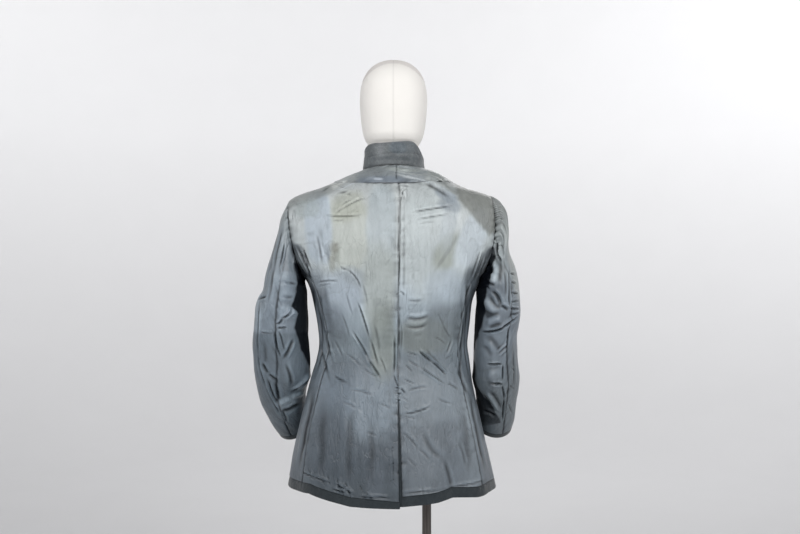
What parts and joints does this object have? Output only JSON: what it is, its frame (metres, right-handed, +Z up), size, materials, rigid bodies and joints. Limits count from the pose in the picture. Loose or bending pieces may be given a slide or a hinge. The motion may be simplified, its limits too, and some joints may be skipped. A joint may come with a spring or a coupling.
{
  "type": "inside-out officer tunic on a limbless dress form",
  "caption": "Officer tunic worn inside out on a limbless dress form: satin lining outside, wool at the stand collar, hem, vent and cuffs, on a pole with a round base.",
  "frame": {"origin": "middle of the base plate's underside, on the floor", "axes": "+Z up, +Y the way the figure faces, +X the figure's right; the back of the tunic faces -Y"},
  "size_m": [0.5899, 0.38, 1.7],
  "materials": {
    "satin_lining": "worn blue-grey satin",
    "yoke_lining": "rubbed, shiny satin",
    "wool": "matt milled wool",
    "form_cloth": "smooth cream jersey",
    "stand_metal": "dark satin enamel"
  },
  "bodies": {
    "root": {"back_lining_left": "satin_lining", "back_lining_right": "satin_lining", "base_plate": "stand_metal", "collar": "wool", "cuff_edge_left": "wool", "cuff_edge_right": "wool", "form_head": "form_cloth", "form_torso": "form_cloth", "front_facing_left": "wool", "front_facing_right": "wool", "front_lining_left": "satin_lining", "front_lining_right": "satin_lining", "hem_back_left": "wool", "hem_back_right": "wool", "hem_front_left": "wool", "hem_front_right": "wool", "hem_side_left": "wool", "hem_side_right": "wool", "neck_yoke": "yoke_lining", "pole": "stand_metal", "pole_socket": "stand_metal", "side_lining_left": "satin_lining", "side_lining_right": "satin_lining", "under_sleeve_left": "satin_lining", "under_sleeve_right": "satin_lining", "upper_sleeve_left": "satin_lining", "upper_sleeve_right": "satin_lining", "vent_underlap": "wool"}
  },
  "joints": []
}
